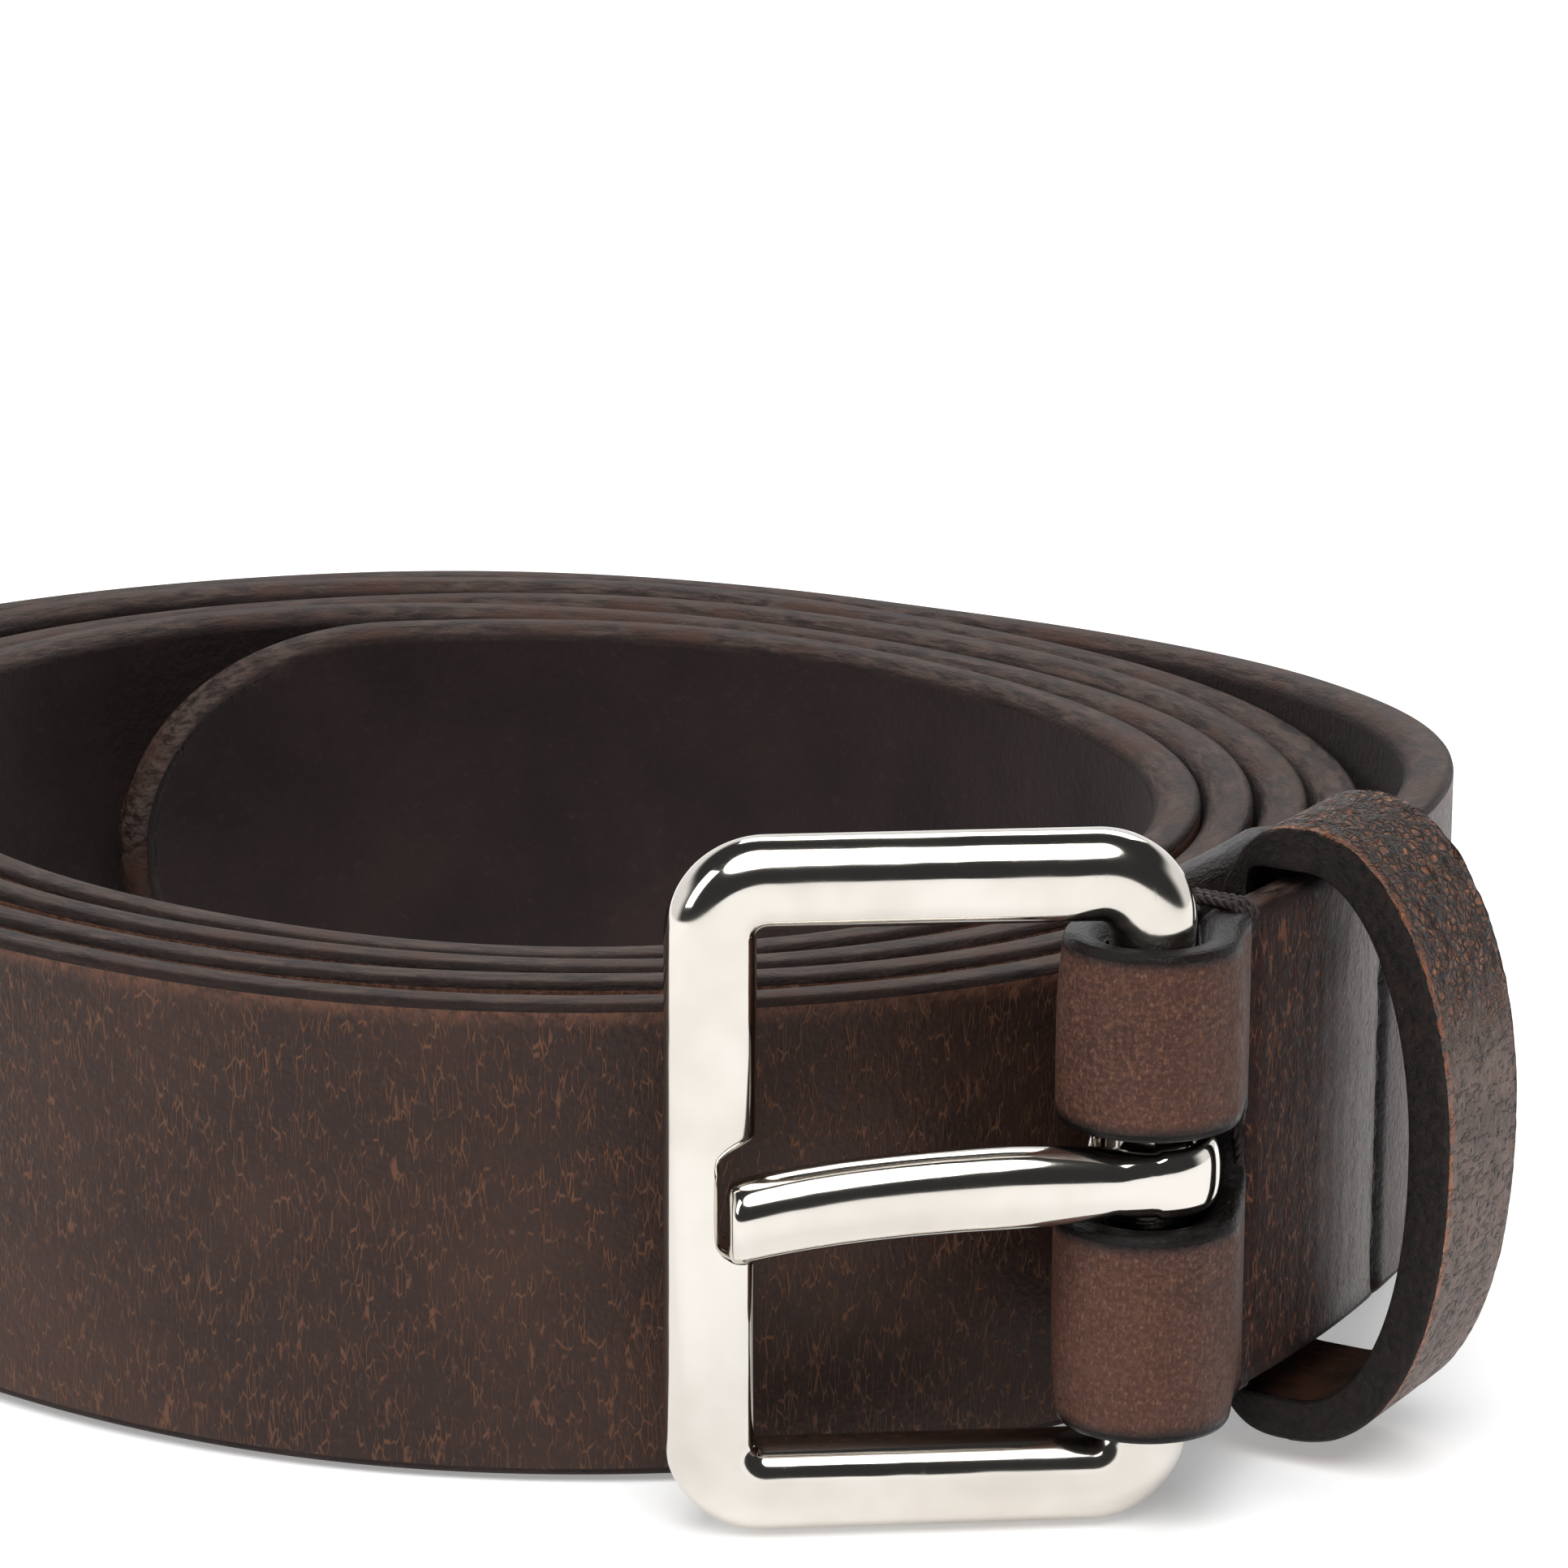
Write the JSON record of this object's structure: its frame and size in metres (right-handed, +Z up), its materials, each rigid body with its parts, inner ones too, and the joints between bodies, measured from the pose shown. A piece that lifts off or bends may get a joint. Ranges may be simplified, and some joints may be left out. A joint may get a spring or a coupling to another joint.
{
  "type": "rolled leather belt",
  "caption": "Leather belt rolled into a standing coil, with a rectangular prong buckle, a belt loop and stitched fold.",
  "frame": {"origin": "middle of the whole object's footprint, on the surface it stands on", "axes": "+Z up along the coil's axis, +Y to the coil's back, away from the buckle, +X to the side where the buckle joins the strap"},
  "size_m": [0.1012, 0.1081, 0.0355],
  "materials": {
    "strap_leather": "waxed dark brown, worn",
    "keeper_leather": "pebbled dark brown",
    "polished_nickel": "polished nickel plate",
    "steel_wire": "plain",
    "thread": "waxed dark brown thread"
  },
  "bodies": {
    "strap": {"strap": "strap_leather", "stitch_row_front": "thread", "stitch_row_rear": "thread"},
    "frame": {"buckle_frame": "polished_nickel"},
    "prong": {"prong": "polished_nickel"},
    "keeper": {"keeper_loop": "keeper_leather", "keeper_staple": "steel_wire"}
  },
  "joints": [
    {"name": "frame_hinge", "type": "hinge", "parent": "strap", "child": "frame", "pos_m": [0.03088, -0.04751, 0.01775], "axis": [0, 0, 1], "range_deg": [-8, 60]},
    {"name": "prong_hinge", "type": "hinge", "parent": "frame", "child": "prong", "pos_m": [0.03088, -0.04751, 0.01775], "axis": [0, 0, 1], "range_deg": [0, 90]},
    {"name": "keeper_slide", "type": "slide", "parent": "strap", "child": "keeper", "axis": [0.5099, 0.8602, 0], "range_m": [-0.0015, 0]}
  ]
}
